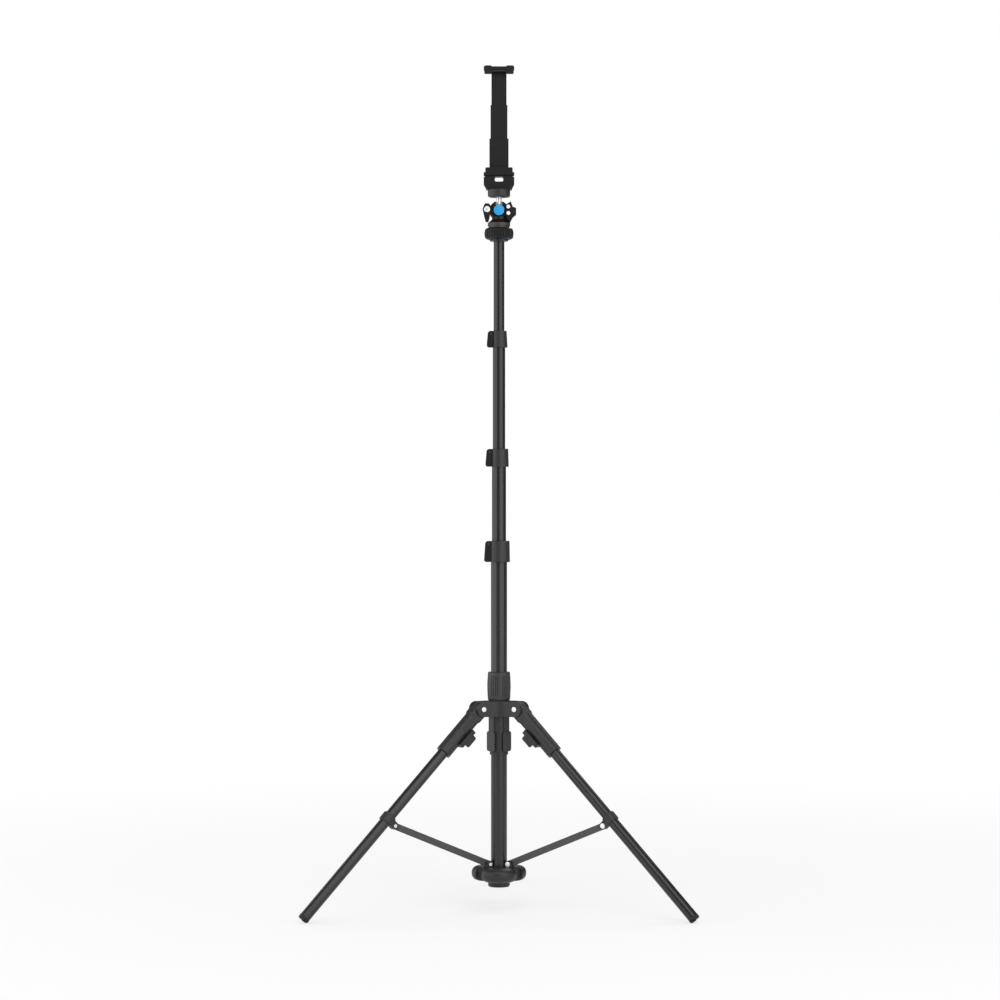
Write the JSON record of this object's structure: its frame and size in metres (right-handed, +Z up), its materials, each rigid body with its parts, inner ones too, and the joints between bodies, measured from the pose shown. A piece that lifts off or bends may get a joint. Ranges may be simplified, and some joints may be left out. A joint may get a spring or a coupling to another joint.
{
  "type": "phone tripod",
  "caption": "Floor tripod with telescoping column, folding legs on stay struts, ball head and a sliding spring clamp for a phone or tablet.",
  "frame": {"origin": "centre of the flat underside of the end boss, on the column's axis; the feet stand lower, at the floor", "axes": "+Z up the column, -Y to the front where the screen faces, +X to the viewer's right"},
  "size_m": [0.6848, 0.5957, 1.4935],
  "materials": {
    "tube_metal": "satin anodised black",
    "strut_metal": "satin dark coating",
    "rivet_metal": "bright",
    "blue_anodised": "turned and anodised blue",
    "neck_metal": "turned, brown-grey",
    "ball_metal": "polished",
    "collar_plastic": "satin, grooved",
    "grip_plastic": "fine grain",
    "bush_plastic": "smooth",
    "foot_rubber": "matt",
    "pad_rubber": "matt",
    "black_plastic": "fine grain"
  },
  "bodies": {
    "column": {"main_tube": "tube_metal", "spreader_hub": "black_plastic", "end_boss": "black_plastic", "spreader_rivets": "rivet_metal", "flip_collar_3": "black_plastic", "flip_pin_3": "strut_metal"},
    "hub": {"hub_body": "black_plastic", "hub_collet": "bush_plastic", "hub_rivets": "rivet_metal"},
    "twist_grip": {"twist_grip": "grip_plastic"},
    "strut_1": {"strut_1": "strut_metal"},
    "leg_1": {"leg_sleeve_1": "black_plastic", "leg_tube_1": "tube_metal", "leg_foot_1": "foot_rubber", "leg_clip_1": "black_plastic", "strut_collar_1": "black_plastic", "collar_rivet_1": "rivet_metal"},
    "strut_2": {"strut_2": "strut_metal"},
    "leg_2": {"leg_sleeve_2": "black_plastic", "leg_tube_2": "tube_metal", "leg_foot_2": "foot_rubber", "leg_clip_2": "black_plastic", "strut_collar_2": "black_plastic", "collar_rivet_2": "rivet_metal"},
    "strut_3": {"strut_3": "strut_metal"},
    "leg_3": {"leg_sleeve_3": "black_plastic", "leg_tube_3": "tube_metal", "leg_foot_3": "foot_rubber", "leg_clip_3": "black_plastic", "strut_collar_3": "black_plastic", "collar_rivet_3": "rivet_metal"},
    "mast_3": {"mast_tube_3": "tube_metal", "mast_bush_3": "bush_plastic", "flip_collar_2": "black_plastic", "flip_pin_2": "strut_metal"},
    "mast_2": {"mast_tube_2": "tube_metal", "mast_bush_2": "bush_plastic", "flip_collar_1": "black_plastic", "flip_pin_1": "strut_metal"},
    "mast_1": {"mast_tube_1": "tube_metal", "mast_bush_1": "bush_plastic", "top_plug": "black_plastic"},
    "flip_lever_3": {"flip_lever_3": "black_plastic"},
    "flip_lever_2": {"flip_lever_2": "black_plastic"},
    "flip_lever_1": {"flip_lever_1": "black_plastic"},
    "head_collar": {"head_collar": "collar_plastic"},
    "head": {"neck_ring": "neck_metal", "ball_housing": "black_plastic", "ball_cap": "blue_anodised", "side_bracket": "black_plastic", "bracket_screws": "rivet_metal"},
    "ball_lever": {"ball_lever": "black_plastic", "lever_cap": "ball_metal"},
    "ball": {"ball_stem": "ball_metal", "mount_disc": "black_plastic"},
    "clamp": {"clamp_base": "black_plastic", "lower_pad": "pad_rubber"},
    "clamp_slide": {"clamp_slide": "black_plastic"},
    "clamp_jaw": {"upper_jaw": "black_plastic", "upper_pad": "pad_rubber"}
  },
  "joints": [
    {"name": "hub_slide", "type": "slide", "parent": "column", "child": "hub", "axis": [0, 0, 1], "range_m": [0, 0.19132]},
    {"name": "grip_turn", "type": "hinge", "parent": "hub", "child": "twist_grip", "pos_m": [0, 0, 0.35605], "axis": [0, 0, 1], "range_deg": [-270, 0]},
    {"name": "strut_1_fold", "type": "hinge", "parent": "column", "child": "strut_1", "pos_m": [0.01801, -0.0104, 0.0412], "axis": [0.5, 0.866, 0], "range_deg": [-67.4, 0]},
    {"name": "leg_1_fold", "type": "hinge", "parent": "strut_1", "child": "leg_1", "pos_m": [0.18282, -0.10555, 0.11961], "axis": [0.5, 0.866, 0], "range_deg": [0, 112.4]},
    {"name": "strut_2_fold", "type": "hinge", "parent": "column", "child": "strut_2", "pos_m": [-0.01801, -0.0104, 0.0412], "axis": [0.5, -0.866, 0], "range_deg": [-67.4, 0]},
    {"name": "leg_2_fold", "type": "hinge", "parent": "strut_2", "child": "leg_2", "pos_m": [-0.18282, -0.10555, 0.11961], "axis": [0.5, -0.866, 0], "range_deg": [0, 112.4]},
    {"name": "strut_3_fold", "type": "hinge", "parent": "column", "child": "strut_3", "pos_m": [0, 0.0208, 0.0412], "axis": [-1, 0, 0], "range_deg": [-67.4, 0]},
    {"name": "leg_3_fold", "type": "hinge", "parent": "strut_3", "child": "leg_3", "pos_m": [0, 0.2111, 0.11961], "axis": [-1, 0, 0], "range_deg": [0, 112.4]},
    {"name": "mast_3_slide", "type": "slide", "parent": "column", "child": "mast_3", "axis": [0, 0, 1], "range_m": [-0.131, 0]},
    {"name": "mast_2_slide", "type": "slide", "parent": "mast_3", "child": "mast_2", "axis": [0, 0, 1], "range_m": [-0.179, 0]},
    {"name": "mast_1_slide", "type": "slide", "parent": "mast_2", "child": "mast_1", "axis": [0, 0, 1], "range_m": [-0.157, 0]},
    {"name": "flip_lever_3_turn", "type": "hinge", "parent": "column", "child": "flip_lever_3", "pos_m": [-0.019, 0, 0.6076], "axis": [0, 1, 0], "range_deg": [0, 100]},
    {"name": "flip_lever_2_turn", "type": "hinge", "parent": "mast_3", "child": "flip_lever_2", "pos_m": [-0.0167, 0, 0.7709], "axis": [0, 1, 0], "range_deg": [0, 100]},
    {"name": "flip_lever_1_turn", "type": "hinge", "parent": "mast_2", "child": "flip_lever_1", "pos_m": [-0.0144, 0, 0.9802], "axis": [0, 1, 0], "range_deg": [0, 100]},
    {"name": "collar_turn", "type": "hinge", "parent": "mast_1", "child": "head_collar", "pos_m": [0, 0, 1.1584], "axis": [0, 0, 1], "range_deg": [-180, 180]},
    {"name": "head_pan", "type": "hinge", "parent": "mast_1", "child": "head", "pos_m": [0, 0, 1.17], "axis": [0, 0, 1], "continuous": true},
    {"name": "ball_lever_turn", "type": "hinge", "parent": "head", "child": "ball_lever", "pos_m": [-0.0212, 0, 1.2009], "axis": [0, 1, 0], "range_deg": [0, 120]},
    {"name": "ball_tilt", "type": "hinge", "parent": "head", "child": "ball", "pos_m": [0, 0, 1.1994], "axis": [1, 0, 0], "range_deg": [-90, 35]},
    {"name": "clamp_swivel", "type": "hinge", "parent": "ball", "child": "clamp", "pos_m": [0, 0, 1.2364], "axis": [0, 0, 1], "continuous": true},
    {"name": "clamp_slide_travel", "type": "slide", "parent": "clamp", "child": "clamp_slide", "axis": [0, 0, 1], "range_m": [-0.058, 0.003]},
    {"name": "clamp_jaw_travel", "type": "slide", "parent": "clamp_slide", "child": "clamp_jaw", "axis": [0, 0, 1], "range_m": [-0.058, 0.003]}
  ],
  "couplings": [
    {"joint": "strut_1_fold", "follows": "hub_slide", "rad_per_m": -6.1471},
    {"joint": "leg_1_fold", "follows": "hub_slide", "rad_per_m": 10.252},
    {"joint": "strut_2_fold", "follows": "hub_slide", "rad_per_m": -6.1471},
    {"joint": "leg_2_fold", "follows": "hub_slide", "rad_per_m": 10.252},
    {"joint": "strut_3_fold", "follows": "hub_slide", "rad_per_m": -6.1471},
    {"joint": "leg_3_fold", "follows": "hub_slide", "rad_per_m": 10.252},
    {"joint": "clamp_slide_travel", "follows": "clamp_jaw_travel", "ratio": 1}
  ]
}
